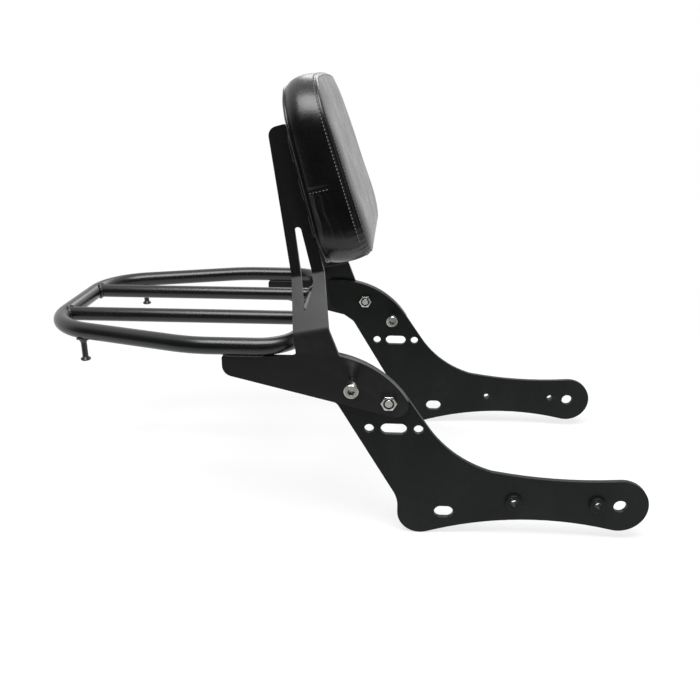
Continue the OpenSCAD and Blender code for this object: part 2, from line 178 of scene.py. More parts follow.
def powder_coat(name, dark, light, rough, shine, grain, height):
    """Powder coat: pebbled skin, broad dull patches, a few dust specks, and sharp edges painted lighter,
    partly as rub wear and partly as a painted highlight.
    """
    made, tree, shader, point = new_material(name)
    skin = place_group(tree, pebble, Point=point, Grain=grain)
    edge_wear_and_light = place_group(tree, lit_and_rubbed, Point=point)
    tone = blend_colours(tree, skin.outputs["Patches"], dark, light)
    dusty = blend_colours(tree, math_node(tree, "MULTIPLY", skin.outputs["Specks"], 0.25), tone, DUST)
    # Sharp edges turn lighter here: partly rub wear, partly a painted highlight.
    lit_edges_colour = blend_colours(tree, math_node(tree, "MULTIPLY", edge_wear_and_light.outputs["Mask"], 0.5), dusty, EDGE_WEAR_AND_HIGHLIGHT)
    tree.links.new(lit_edges_colour, shader.inputs["Base Color"])
    swing = math_node(tree, "MULTIPLY_ADD", skin.outputs["Patches"], 0.16, rough - 0.08)
    tree.links.new(swing, shader.inputs["Roughness"])
    shader.inputs["Specular IOR Level"].default_value = shine
    bump = shader_node(tree, "Bump", None, Strength=0.5, Distance=height, Height=skin.outputs["Height"])
    tree.links.new(bump.outputs[0], shader.inputs["Normal"])
    return made


def dress(material, *names):
    """Gives CAD nodes a material."""
    for name in names:
        part = nodes[name]
        part.data.materials.clear()
        part.data.materials.append(material)


SAME_POINT = 0.000004
SHARP_ANGLE = math.radians(32)


def soften_edges(width, *names):
    """Joins the loose triangles of CAD nodes and breaks their sharp edges by a width in metres,
    as tumbling or a coat does. Flat faces keep their own shading."""
    for name in names:
        part = nodes[name]
        part.data.shade_smooth()
        weld = part.modifiers.new("joined_faces", "WELD")
        weld.merge_threshold = SAME_POINT
        bevel = part.modifiers.new("broken_edges", "BEVEL")
        bevel.width = width
        bevel.segments = 2
        bevel.limit_method = "ANGLE"
        bevel.angle_limit = SHARP_ANGLE
        bevel.use_clamp_overlap = True
        even = part.modifiers.new("flat_faces_first", "WEIGHTED_NORMAL")
        even.keep_sharp = True
        even.weight = 100


plate_coat = powder_coat(
    "satin_black_plate", (0.003, 0.0042, 0.004, 1), (0.0055, 0.0072, 0.0068, 1),
    rough=0.44, shine=0.17, grain=900.0, height=0.0001
)
dress(plate_coat, "side_plate_right", "side_plate_left")
soften_edges(0.0004, "side_plate_right", "side_plate_left")

# Bosses. Four turned steel bosses, each with a spigot through the plate and an M8
# thread, welded or pressed in before coating, so they carry the same coat as the plates.

boss_names = ["boss_" + place + "_" + side for place in ("front", "rear") for side in ("right", "left")]
dress(plate_coat, *boss_names)
soften_edges(0.0003, *boss_names)

# Brackets. One 5 mm steel sheet on each side, cut with its slot, then stepped inwards
# with two bends. It carries the rack on its wing and the pad on its upright.

# The brackets carry the same satin black coat as the plates, with its colour made a little darker as painted
# shade.
bracket_coat_shaded = powder_coat(
    "satin_black_bracket_shaded", (0.0026, 0.0034, 0.003, 1), (0.0052, 0.0062, 0.0054, 1),
    rough=0.4, shine=0.3, grain=900.0, height=0.00012
)
dress(bracket_coat_shaded, "bracket_right", "bracket_left")
soften_edges(0.0004, "bracket_right", "bracket_left")

# Bracket screws and nuts. Stainless M8 socket cap screws, rolled and headed, with
# hexagon nuts. The metal is bright with fine turning marks. A dark ring of painted shade lies
# round each thread's end in its nut, where the chamfer would be in shadow.

turning, t_in, t_out = new_group(
    "turning_marks",
    [("Point", "Vector", (0, 0, 0)), ("Pitch", "Float", 5200.0)],
    [("Height", "Float"), ("Stain", "Float")],
)
marks = shader_node(
    turning, "TexNoise", None, Vector=t_in.outputs["Point"], Scale=t_in.outputs["Pitch"], Detail=1.0
)
stain = shader_node(turning, "TexNoise", None, Vector=t_in.outputs["Point"], Scale=240.0, Detail=4.0)
turning.links.new(marks.outputs[0], t_out.inputs["Height"])
turning.links.new(stain.outputs[0], t_out.inputs["Stain"])


def bare_metal(name, dark, light, rough):
    """Turned or headed metal: fine marks round the axis and a faint mottle."""
    made, tree, shader, point = new_material(name)
    cut = place_group(tree, turning, Point=point)
    tree.links.new(blend_colours(tree, cut.outputs["Stain"], dark, light), shader.inputs["Base Color"])
    tree.links.new(
        math_node(tree, "MULTIPLY_ADD", cut.outputs["Stain"], 0.2, rough - 0.1), shader.inputs["Roughness"]
    )
    shader.inputs["Metallic"].default_value = 1.0
    bump = shader_node(tree, "Bump", None, Strength=0.2, Distance=0.00002, Height=cut.outputs["Height"])
    tree.links.new(bump.outputs[0], shader.inputs["Normal"])
    return made


# A ring of painted shade on the nuts round each thread's end: its radius, the half width where it is darkest,
# the distance where it has faded out, and its dark colour.
SHADE_RING_R = 0.0044
SHADE_RING_CORE = 0.0003
SHADE_RING_EDGE = 0.0011
THREAD_SHADE_COLOUR = (0.025, 0.024, 0.022, 1)
thread_shade, g_in, g_out = new_group(
    "painted_shade_round_thread",
    [("Point", "Vector", (0, 0, 0)), ("Rear", "Vector", (0, 0, 0)), ("Front", "Vector", (0, 0, 0))],
    [("Mask", "Float")],
)
side_view = shader_node(
    thread_shade, "VectorMath", {"operation": "MULTIPLY"}, i0=g_in.outputs["Point"], i1=(1.0, 0.0, 1.0)
)
to_rear = shader_node(
    thread_shade, "VectorMath", {"operation": "DISTANCE"}, i0=side_view.outputs[0], i1=g_in.outputs["Rear"]
)
to_front = shader_node(
    thread_shade, "VectorMath", {"operation": "DISTANCE"}, i0=side_view.outputs[0], i1=g_in.outputs["Front"]
)
from_axis = math_node(thread_shade, "MINIMUM", to_rear.outputs["Value"], to_front.outputs["Value"])
off_ring = math_node(thread_shade, "ABSOLUTE", math_node(thread_shade, "SUBTRACT", from_axis, SHADE_RING_R))
ring_mask = fading(thread_shade, off_ring, SHADE_RING_CORE, SHADE_RING_EDGE, 1.0, 0.0, "SMOOTHSTEP")
thread_shade.links.new(ring_mask, g_out.inputs["Mask"])


def bolt_axis(name):
    """Middle of a node's box in the side view, which is the axis of its two screws."""
    low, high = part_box(name)
    return ((low[0] + high[0]) / 2, 0.0, (low[2] + high[2]) / 2)


stainless = bare_metal("bright_stainless", (0.42, 0.41, 0.39, 1), (0.72, 0.71, 0.67, 1), rough=0.24)
dress(stainless, "rear_screws", "front_screws")
nut_steel = bare_metal("bright_stainless_nut", (0.46, 0.45, 0.43, 1), (0.8, 0.79, 0.75, 1), rough=0.22)
nut_tree = nut_steel.node_tree
nut_colour = nut_tree.nodes["Principled BSDF"].inputs["Base Color"]
# The nuts' own metal colour is darkened in that ring: painted shade.
nut_thread_shade = place_group(
    nut_tree, thread_shade,
    Point=object_point(nut_tree), Rear=bolt_axis("rear_screws"), Front=bolt_axis("front_screws")
)
unshaded_metal = nut_colour.links[0].from_socket
nut_tree.links.new(blend_colours(nut_tree, nut_thread_shade.outputs["Mask"], unshaded_metal, THREAD_SHADE_COLOUR), nut_colour)
dress(nut_steel, "hex_nuts")
soften_edges(0.00025, "rear_screws", "front_screws", "hex_nuts")

# Rack loop. One 16 mm tube, bent six times and closed with a butt weld in the middle
# of its front run, then coated satin black. Its rails lie on the wings of the brackets.

loop_low, loop_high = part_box("rack_loop")
LOOP_R = (loop_high.z - loop_low.z) / 2
RACK_Z = (loop_high.z + loop_low.z) / 2
FRONT_X = loop_high.x - LOOP_R
REAR_X = loop_low.x + LOOP_R
RAIL_Y = loop_high.y - LOOP_R
REAR_Y = 0.0832
RAIL_TURN_X = FRONT_X - 0.096
FRONT_BEND = 0.036
RAIL_BEND = 0.120
REAR_BEND = 0.060
LOOP_SIDES = 40
LOOP_STEP = 0.003


def unit(v):
    """Vectors divided by their lengths."""
    return v / np.linalg.norm(v, axis=-1, keepdims=True)


def rounded_line(corners, radii, step):
    """Closed line through flat corners, each replaced by the arc that touches both its edges.
    The arc's middle lies on the corner's bisector at radius / sin(half angle), and the points
    lie about one step apart, on the arcs and on the straight runs between them."""
    corners = np.asarray(corners, float)
    count = len(corners)
    runs = []
    cuts = []
    for i in range(count):
        q = corners[i]
        a = unit(corners[i - 1] - q)
        b = unit(corners[(i + 1) % count] - q)
        half = math.acos(float(np.clip(a @ b, -1, 1))) / 2
        middle = q + unit(a + b) * radii[i] / math.sin(half)
        first = q + a * radii[i] / math.tan(half) - middle
        last = q + b * radii[i] / math.tan(half) - middle
        start = math.atan2(first[1], first[0])
        turn = (math.atan2(last[1], last[0]) - start + math.pi) % (2 * math.pi) - math.pi
        angle = start + turn * np.linspace(0, 1, max(3, int(abs(turn) * radii[i] / step)))
        cuts.append(middle + radii[i] * np.stack([np.cos(angle), np.sin(angle)], -1))
    for i in range(count):
        here = cuts[i]
        ahead = cuts[(i + 1) % count][0]
        length = np.linalg.norm(ahead - here[-1])
        share = np.linspace(0, 1, max(2, int(length / step)), endpoint=False)[1:, None]
        runs += [here, here[-1] + share * (ahead - here[-1])]
    return np.concatenate(runs)


def grid_faces(rows, columns, close_rows, close_columns):
    """Quads of a grid of points, row by row, closed on itself where asked."""
    row_count = rows if close_rows else rows - 1
    column_count = columns if close_columns else columns - 1
    r, c = np.meshgrid(np.arange(row_count), np.arange(column_count), indexing="ij")
    next_r = (r + 1) % rows
    next_c = (c + 1) % columns
    quads = [r * columns + c, r * columns + next_c, next_r * columns + next_c, next_r * columns + c]
    return np.stack(quads, -1).reshape(-1, 4)


def new_piece(name, points, faces, material):
    """Smooth mesh piece in the row frame that rides on the frame and has a material slot."""
    mesh = bpy.data.meshes.new(name)
    mesh.from_pydata(np.asarray(points).reshape(-1, 3).tolist(), [], [list(f) for f in faces])
    mesh.validate()
    mesh.shade_smooth()
    mesh.materials.append(material)
    piece = bpy.data.objects.new(name, mesh)
    bpy.context.scene.collection.objects.link(piece)
    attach(piece, "root")
    return piece


def swept_rings(line, radius, sides, out, up):
    """Rings round a line: at angle a a point lies at radius times cos(a) along out plus
    sin(a) along up. The radius may change along the line."""
    a = np.linspace(0, 2 * np.pi, sides, endpoint=False)[None, :, None]
    r = np.broadcast_to(np.asarray(radius, float), (len(line),))[:, None, None]
    return line[:, None, :] + r * (np.cos(a) * out[:, None, :] + np.sin(a) * up[:, None, :])


def flat_frame(line, closed):
    """Directions across and above a line that lies level: sideways, and straight up."""
    ahead = np.roll(line, -1, 0) - np.roll(line, 1, 0) if closed else np.gradient(line, axis=0)
    ahead = unit(ahead)
    up = np.broadcast_to([0.0, 0.0, 1.0], line.shape)
    return np.cross(ahead, up), up


loop_corners = [
    (FRONT_X, -RAIL_Y),
    (RAIL_TURN_X, -RAIL_Y),
    (REAR_X, -REAR_Y),
    (REAR_X, REAR_Y),
    (RAIL_TURN_X, RAIL_Y),
    (FRONT_X, RAIL_Y),
]
loop_radii = [FRONT_BEND, RAIL_BEND, REAR_BEND, REAR_BEND, RAIL_BEND, FRONT_BEND]
loop_flat = rounded_line(loop_corners, loop_radii, LOOP_STEP)
loop_line = np.column_stack([loop_flat, np.full(len(loop_flat), RACK_Z)])
loop_out, loop_up = flat_frame(loop_line, True)
rack_coat = powder_coat(
    "satin_black_tube", (0.0025, 0.0032, 0.003, 1), (0.0055, 0.0064, 0.006, 1),
    rough=0.27, shine=0.55, grain=700.0, height=0.00007
)
loop = new_piece(
    "rack_loop_tube",
    swept_rings(loop_line, LOOP_R, LOOP_SIDES, loop_out, loop_up),
    grid_faces(len(loop_line), LOOP_SIDES, True, True),
    rack_coat,
)
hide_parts("rack_loop")

# Rack bars. Two 14 mm tubes with both ends coped to the cross tubes of the loop.
# They are welded all round at each end before the rack is coated.

bar_low, bar_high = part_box("rack_bar_left")
BAR_Y = (bar_low.y + bar_high.y) / 2
BAR_R = 0.007
BAR_SIDES = 36
BAR_STEP = 0.003
INTO_LOOP = LOOP_R - 0.003


def straight_tube(start, end, radius, sides):
    """Closed tube between two points along X, with a ring of points for each step of its length."""
    count = max(2, int(abs(end[0] - start[0]) / BAR_STEP))
    share = np.linspace(0, 1, count)[:, None]
    line = np.asarray(start) + share * (np.asarray(end) - np.asarray(start))
    out, up = flat_frame(line, False)
    rings = swept_rings(line, radius, sides, out, up)
    points = np.concatenate([rings.reshape(-1, 3), [line[0], line[-1]]])
    faces = grid_faces(count, sides, False, True).tolist()
    around = np.arange(sides)
    beyond = (around + 1) % sides
    last = (count - 1) * sides
    faces += np.stack([around, beyond, np.full(sides, count * sides)], -1).tolist()
    faces += np.stack([last + beyond, last + around, np.full(sides, count * sides + 1)], -1).tolist()
    return points, faces


for side, label in ((-1, "right"), (1, "left")):
    bar_rear = (REAR_X + INTO_LOOP, side * BAR_Y, RACK_Z)
    bar_front = (FRONT_X - INTO_LOOP, side * BAR_Y, RACK_Z)
    tube_points, tube_faces = straight_tube(bar_rear, bar_front, BAR_R, BAR_SIDES)
    bar = new_piece("rack_bar_tube_" + label, tube_points, tube_faces, rack_coat)
    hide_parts("rack_bar_" + label)

# Lashing pegs. Two turned pegs with a mushroom foot, welded under the rear corners
# of the loop, where straps are hooked. They are coated with the rack.

dress(rack_coat, "lash_peg_right", "lash_peg_left")
soften_edges(0.0002, "lash_peg_right", "lash_peg_left")

# Weld beads. Fillet welds laid by hand: round each bar end, round each peg root, along
# the wings under the rails, and in short runs where the backrest plate meets the uprights.

BEAD_SIDES = 10
BEAD_R = 0.0016
PEG_BEAD_R = 0.0012
UPRIGHT_BEAD_R = 0.0015
CLOSE_DROPS = 0.0022
WIDE_DROPS = 0.0024
PEG_DROPS = 0.0020


def bead(line, closed, radius, pitch):
    """Weld bead along a line: a round section whose radius swells once every pitch, as
    stacked drops do, and shrinks to nothing at the ends of an open run."""
    ahead = np.roll(line, -1, 0) - line if closed else np.gradient(line, axis=0)
    run = np.concatenate([[0], np.cumsum(np.linalg.norm(np.diff(line, axis=0), axis=1))])
    swell = radius * (1 + 0.13 * np.abs(np.sin(np.pi * run / pitch)))
    if not closed:
        to_end = np.minimum(run, run[-1] - run)
        swell = swell * np.clip(to_end / (1.5 * radius), 0.02, 1) ** 0.5
    ahead = unit(ahead)
    seed = np.where(np.abs(ahead[:, 2:3]) < 0.9, [[0.0, 0.0, 1.0]], [[1.0, 0.0, 0.0]])
    out = unit(np.cross(ahead, seed))
    rings = swept_rings(line, swell, BEAD_SIDES, out, np.cross(out, ahead))
    return rings.reshape(-1, 3), grid_faces(len(line), BEAD_SIDES, closed, True)


def saddle(middle, inner, outer, way, count):
    """Line where a round bar that points along X meets a round tube along Y: at angle a
    it lies at the bar's radius, and stands off the tube's axis by its half width there."""
    a = np.linspace(0, 2 * np.pi, count, endpoint=False)
    z = inner * np.sin(a)
    x = way * np.sqrt(outer**2 - z**2)
    return np.asarray(middle) + np.stack([x, inner * np.cos(a), z], -1)


def join_pieces(pieces):
    """One list of points and one of faces from several (points, faces)."""
    offsets = np.cumsum([0] + [len(points) for points, faces in pieces])
    all_points = np.concatenate([points for points, faces in pieces])
    all_faces = np.concatenate([faces + offset for (points, faces), offset in zip(pieces, offsets)])
    return all_points, all_faces


PROUD = 0.0004
WING_START = -0.3700
WING_END = -0.3340
WING_FACE = 0.0028
WING_TOP = RACK_Z - LOOP_R + 0.0005
WOBBLE = 0.00015
PEG_X = REAR_X + 0.0385
PEG_Y = RAIL_Y - (PEG_X - RAIL_TURN_X) * (RAIL_Y - REAR_Y) / (REAR_X - RAIL_TURN_X)
PEG_ROOT_R = 0.0052
beads = []
for side in (-1, 1):
    for cross_x, way in ((REAR_X, 1), (FRONT_X, -1)):
        ring = saddle((cross_x, side * BAR_Y, RACK_Z), BAR_R + PROUD, LOOP_R + PROUD, way, count=120)
        beads.append(bead(ring, True, BEAD_R, CLOSE_DROPS))
    for face in (-1, 1):
        wing_x = np.linspace(WING_START, WING_END, 60)
        wing_y = side * RAIL_Y + face * WING_FACE + WOBBLE * np.sin(wing_x * 900)
        wing_run = np.stack([wing_x, wing_y, np.full(60, WING_TOP)], -1)
        beads.append(bead(wing_run, False, BEAD_R, WIDE_DROPS))
for side in (-1, 1):
    peg_angle = np.linspace(0, 2 * np.pi, 80, endpoint=False)
    across_peg = PEG_ROOT_R * np.sin(peg_angle)
    under_rail = RACK_Z - np.sqrt((LOOP_R + 0.0003) ** 2 - across_peg**2)
    ring = np.stack([PEG_X + PEG_ROOT_R * np.cos(peg_angle), side * PEG_Y + across_peg, under_rail], -1)
    beads.append(bead(ring, True, PEG_BEAD_R, PEG_DROPS))

PAD_FOOT = np.array([-0.2835, 0.0, 0.231])
LEAN = math.radians(14)
PAD_UP = np.array([-math.sin(LEAN), 0.0, math.cos(LEAN)])
PAD_OUT = np.array([math.cos(LEAN), 0.0, math.sin(LEAN)])


def pad_points(y, u, n):
    """Points of the row frame from distances across, up and out of the pad's back, in metres."""
    y, u, n = np.broadcast_arrays(y, u, n)
    across = np.array([0.0, 1.0, 0.0])
    return PAD_FOOT + y[..., None] * across + u[..., None] * PAD_UP + n[..., None] * PAD_OUT


UPRIGHT_IN = 0.0852
UPRIGHT_OUT = 0.0908
WELD_RUN = 0.022
PLATE_BACK = -0.0032
for side in (-1, 1):
    for start in (0.016, 0.050, 0.084):
        up_plate = np.linspace(start, start + WELD_RUN, 40)
        for face_y in (UPRIGHT_IN, UPRIGHT_OUT):
            weld_run = pad_points(side * face_y, up_plate, PLATE_BACK)
            beads.append(bead(weld_run, False, UPRIGHT_BEAD_R, CLOSE_DROPS))
bead_points, bead_faces = join_pieces(beads)
new_piece("weld_beads", bead_points, bead_faces, rack_coat)

# Backrest plate. A 3 mm steel plate welded across the front edges of the uprights,
# with four holes for the pad screws. It is coated with the brackets.

dress(bracket_coat_shaded, "backrest_plate")
soften_edges(0.0003, "backrest_plate")

# Pad screws and washers. M6 hexagon screws with flat washers, zinc plated and blackened.
# They go through the plate into the flanged nuts in the board.

black_zinc = bare_metal("black_zinc", (0.035, 0.035, 0.037, 1), (0.075, 0.075, 0.078, 1), rough=0.38)
dress(black_zinc, "pad_screws", "pad_washers")
soften_edges(0.00015, "pad_screws", "pad_washers")

# Flanged nuts. Pressed steel nuts with a wide flange, plated yellow and sunk in the
# front of the board, where the foam hides them.

yellow_zinc = bare_metal("yellow_zinc", (0.42, 0.34, 0.18, 1), (0.66, 0.56, 0.36, 1), rough=0.35)
dress(yellow_zinc, "tee_nuts")

# Pad board. Nine millimetre plywood in the back of the pad, stained black, with its
# veneer running up the pad. Its edge is hidden by the turned cover.

stained_ply, ply_tree, ply_shader = new_material("black_stained_plywood")[:3]
veneer = shader_node(
    ply_tree, "TexNoise", None,
    Vector=object_point(ply_tree, scale=(60.0, 900.0, 60.0)), Scale=1.0, Detail=5.0, Roughness=0.65
)
ply_tree.links.new(
    blend_colours(ply_tree, veneer.outputs[0], (0.012, 0.010, 0.009, 1), (0.05, 0.042, 0.034, 1)),
    ply_shader.inputs["Base Color"],
)
ply_tree.links.new(
    math_node(ply_tree, "MULTIPLY_ADD", veneer.outputs[0], 0.2, 0.6), ply_shader.inputs["Roughness"]
)
ply_bump = shader_node(ply_tree, "Bump", None, Strength=0.4, Distance=0.0002, Height=veneer.outputs[0])
ply_tree.links.new(ply_bump.outputs[0], ply_shader.inputs["Normal"])
dress(stained_ply, "pad_board")

# Pad cushion. Moulded foam in a sewn cover of glossy black leatherette: a front panel,
# a side strip that is joined at mid height, a flat seam sewn twice along the front edge,
# and a corded seam at the back. The cover is drawn over the board and gathers in folds
# round the lower corners.

PAD_W = 0.220
PAD_LOW = -0.0125
PAD_TOP = 0.1525
PAD_STEP = 0.0014
TOP_CORNER = 0.045
LOW_CORNER = 0.036
TOP_ARCH = 0.0052
ARCH_START = 0.080
TOP_SEAM = 0.030
BOTTOM_SEAM = 0.0395
LOW_CROWN = 0.0088
TOP_CROWN = 0.0054
CROWN_MIDDLE = PAD_LOW + 0.38 * (PAD_TOP - PAD_LOW)
ROLL_WIDE = 0.026
ROLL_SHARE = 0.9
JOINT_UP = 0.060


def ramp(x, start, end):
    """Share of the way from a start to an end, held between 0 and 1."""
    return np.clip((x - start) / (end - start), 0, 1)


def bell(x, middle, width):
    """Smooth hump of height one round a middle."""
    return np.exp(-(((x - middle) / width) ** 2))


pad_line = rounded_line(
    [(-PAD_W / 2, PAD_LOW), (PAD_W / 2, PAD_LOW), (PAD_W / 2, PAD_TOP), (-PAD_W / 2, PAD_TOP)],
    [LOW_CORNER, LOW_CORNER, TOP_CORNER, TOP_CORNER],
    PAD_STEP,
)
arch_share = ramp(pad_line[:, 1], ARCH_START, PAD_TOP) ** 2
pad_line[:, 1] -= TOP_ARCH * arch_share * (pad_line[:, 0] / (PAD_W / 2)) ** 2
pad_ahead = unit(np.roll(pad_line, -1, 0) - np.roll(pad_line, 1, 0))
pad_side = np.stack([pad_ahead[:, 1], -pad_ahead[:, 0]], -1)
outline_y = pad_line[:, 0]
outline_up = pad_line[:, 1]


def seam_out(u):
    """Distance of the front seam from the pad's back: a straight line from the bottom to the top."""
    return BOTTOM_SEAM + (TOP_SEAM - BOTTOM_SEAM) * (u - PAD_LOW) / (PAD_TOP - PAD_LOW)


def crown(u):
    """Height of the crowned front over its seam, which falls evenly from u = 30 mm to 110 mm."""
    return LOW_CROWN + (TOP_CROWN - LOW_CROWN) * ramp(u, 0.030, 0.110)


def on_pad_sides(y):
    """One on the sides of the pad and none on its middle, by the distance across."""
    return ramp(np.abs(y), 0.085, 0.105)


FOLD_H = 0.00045
FOLD_PITCH = 0.0125
RIDGE_H = 0.00055
LONG_RIDGES = [(0.16, 0.10, 0.8), (0.33, 0.42, 1.0), (0.52, 0.66, 0.6)]


def folds(y, u, share):
    """Height of the folds of the side strip. Round the lower corners short ridges cross the
    strip, leaning towards the front seam. Below the joint three long ridges run down it, each
    from one share of the strip's width at the joint to another at the bottom."""
    fade = np.sin(np.pi * np.clip(share, 0, 1)) ** 0.7
    low = ramp(u, 0.034, -0.006) ** 2
    along = u + 0.35 * np.abs(y) + 0.010 * share
    fine = 0.5 + 0.5 * np.sin(along * 2 * np.pi / FOLD_PITCH + 2.2 * np.sin(along * 95) + 9 * y)
    broad_fold = bell(u - 0.02 * share, 0.012, 0.004) + 0.7 * bell(u + 0.012 * share, 0.026, 0.005)
    below = ramp(u, JOINT_UP, JOINT_UP - 0.006) * ramp(u, -0.006, 0.039)
    ridges = 0
    for at_joint, at_bottom, size in LONG_RIDGES:
        place = at_bottom + (at_joint - at_bottom) * ramp(u, 0, JOINT_UP) ** 1.4
        wavy = place + 0.022 * np.sin(u * 210 + 9 * at_joint)
        ridges = ridges + size * bell(share, wavy, 0.045)
    return fade * FOLD_H * low * (fine + broad_fold) + RIDGE_H * on_pad_sides(y) * below * ridges


REAR_DEEP = 0.015
REAR_WIDE = 0.003
REAR_WIDE_TOP = 0.0074


def rear_round(u, n):
    """How far the cover draws in towards its back: a quarter of an ellipse that is 15 mm
    deep, and 7.4 mm wide over the pad's top but 3 mm wide at its sides and bottom."""
    wide = REAR_WIDE + (REAR_WIDE_TOP - REAR_WIDE) * ramp(u, 0.105, 0.140) ** 1.5
    return wide * (1 - np.sqrt(1 - ramp(n, REAR_DEEP, 0) ** 2))


# The cover's rows, from the lip in the pocket of the board, round the back edge, over the
# side strip and through the front seam. Each row has a margin inside the outline and a
# distance out of the pad's back. The lists are in millimetres.

LIP_IN = 0.0080
STRIP_IN = 0.0002
STRIP_BACK = 0.0042
STRIP_FRONT = 0.0014
STRIP_ROWS = 60
BULGE = 0.0022
JOINT_DEEP = 0.0007
JOINT_WIDE = 0.0011
RIM_H = 0.00025
RIM_OFF = 0.0028
RIM_WIDE = 0.0015
PUCKER_H = 0.00035
PUCKER_PITCH = 0.0062
lip = [[8.0, 9.3], [8.0, 5.0], [8.0, 0.2], [7.4, -0.5], [6.0, -0.9], [4.4, -1.0]]
turn_angle = np.linspace(0.15, 1.0, 8) * math.pi / 2
back_edge = np.stack([4.4 - 4.2 * np.sin(turn_angle), 3.6 - 4.6 * np.cos(turn_angle)], -1)
rear_rows = np.concatenate([lip, back_edge]) / 1000
rows_margin = []
rows_out = []
for margin, out in rear_rows:
    drawn = rear_round(outline_up, max(out, 0.0)) * ramp(margin, 0.0078, 0.0038)
    rows_margin.append(np.minimum(margin + drawn, LIP_IN))
    rows_out.append(np.full(len(pad_line), out))

seam_here = seam_out(outline_up)
joint = on_pad_sides(outline_y) * bell(outline_up, JOINT_UP, JOINT_WIDE)
rims = bell(outline_up, JOINT_UP - RIM_OFF, RIM_WIDE) + bell(outline_up, JOINT_UP + RIM_OFF, RIM_WIDE)
joint_rim = on_pad_sides(outline_y) * rims
corner = ramp(outline_up, 0.034, 0.004) ** 2 * ramp(np.abs(outline_y), 0.060, 0.090)
outline_run = np.concatenate([[0], np.cumsum(np.linalg.norm(np.diff(pad_line, axis=0), axis=1))])
pucker = corner * np.sin(outline_run * 2 * np.pi / PUCKER_PITCH) * PUCKER_H
for share in np.linspace(0, 1, STRIP_ROWS):
    out = STRIP_BACK + share * (seam_here - STRIP_FRONT - STRIP_BACK)
    bulge = BULGE * math.sin(math.pi * share) ** 0.8
    crease = folds(outline_y, outline_up, share)
    reach = ramp(share, 0.78, 0.53) * math.sin(math.pi * share) ** 0.3
    sewn = reach * (JOINT_DEEP * joint - RIM_H * joint_rim)
    gather = pucker * share**6
    rows_margin.append(STRIP_IN - bulge - crease + sewn + gather + rear_round(outline_up, out))
    rows_out.append(out)

welt = [[0.1, -0.9], [-0.15, -0.35], [0.3, 0.0], [0.9, 0.12], [1.0, 0.45], [0.8, 0.9], [1.2, 1.5], [2.0, 2.2]]
for margin, out in np.array(welt) / 1000:
    rows_margin.append(margin + pucker)
    rows_out.append(seam_here + out)
edge_line = pad_line - pad_side * rows_margin[-1][:, None]
edge_out = rows_out[-1]
rows_margin = np.array(rows_margin)
outer = pad_line[None] - pad_side[None] * rows_margin[..., None]
side_rings = pad_points(outer[..., 0], outer[..., 1], np.array(rows_out))

# The front panel. Its rows are the edge of the seam, drawn in towards the crown's middle.
# They rise steeply beside the seam, as a pad does that is rolled over its foam, and then
# slowly up to the middle, with shallow dimples.

PANEL_ROWS = 61
panel_middle = np.array([0.0, CROWN_MIDDLE])
shrink = 1 - np.linspace(0.03, 1, PANEL_ROWS + 1)[:-1] ** 1.5
front = panel_middle + shrink[:, None, None] * (edge_line - panel_middle)
inside = ((edge_line - front) * pad_side).sum(-1)
steep = 0.5 + 0.4 * np.clip(pad_side[:, 1], 0, 1)
rolled = (1 - (1 - ramp(inside, 0, ROLL_WIDE)) ** 2) ** steep
rise = ROLL_SHARE * rolled + (1 - ROLL_SHARE) * (1 - shrink[:, None] ** 2)
panel_out = seam_out(front[..., 1]) + (edge_out - seam_out(edge_line[:, 1])) * shrink[:, None] ** 8
panel_out = panel_out + crown(front[..., 1]) * rise + pucker * shrink[:, None] ** 30
dimple = 0.0004 * np.sin(front[..., 0] * 61 + 1.1) * np.sin(front[..., 1] * 83 + 0.4)
panel_out = panel_out + dimple * rise
front_rings = pad_points(front[..., 0], front[..., 1], panel_out)

# The floor of the pocket behind the board closes the cover at the back.

POCKET_IN = 0.0083
POCKET_OUT = 0.0093
pocket_line = pad_line - pad_side * POCKET_IN
pocket_middle = np.array([0.0, (PAD_LOW + PAD_TOP) / 2])
pocket_shrink = np.linspace(0.04, 0.96, 8)[:, None, None]
pocket = pocket_middle + pocket_shrink * (pocket_line - pocket_middle)
pocket_rings = pad_points(pocket[..., 0], pocket[..., 1], POCKET_OUT)

pad_rings = np.concatenate([pocket_rings, side_rings, front_rings])
count_around = len(pad_line)
count_rows = len(pad_rings)
back_pole = pad_points(0.0, pocket_middle[1], POCKET_OUT)
front_pole = pad_points(0.0, CROWN_MIDDLE, seam_out(CROWN_MIDDLE) + crown(CROWN_MIDDLE))
cushion_points = np.concatenate([pad_rings.reshape(-1, 3), [back_pole, front_pole]])
around = np.arange(count_around)
beyond = (around + 1) % count_around
first_pole = np.full(count_around, count_rows * count_around)
last_row = (count_rows - 1) * count_around
cushion_faces = grid_faces(count_rows, count_around, False, True).tolist()
cushion_faces += np.stack([beyond, around, first_pole], -1).tolist()
cushion_faces += np.stack([last_row + around, last_row + beyond, first_pole + 1], -1).tolist()

leather_grain, l_in, l_out = new_group(
    "leather_grain",
    [("Point", "Vector", (0, 0, 0)), ("Cells", "Float", 1100.0)],
    [("Height", "Float"), ("Shade", "Float")],
)
warp = shader_node(leather_grain, "TexNoise", None, Vector=l_in.outputs["Point"], Scale=260.0, Detail=2.0)
warped = shader_node(
    leather_grain, "VectorMath", {"operation": "MULTIPLY_ADD"},
    i0=warp.outputs["Color"], i1=(0.0009,) * 3, i2=l_in.outputs["Point"]
)
cells = shader_node(
    leather_grain, "TexVoronoi", {"feature": "DISTANCE_TO_EDGE"},
    Vector=warped.outputs[0], Scale=l_in.outputs["Cells"]
)
pores = fading(leather_grain, cells.outputs["Distance"], 0.0, 0.12)
slow = shader_node(leather_grain, "TexNoise", None, Vector=l_in.outputs["Point"], Scale=34.0, Detail=4.0)
leather_grain.links.new(pores, l_out.inputs["Height"])
leather_grain.links.new(slow.outputs[0], l_out.inputs["Shade"])


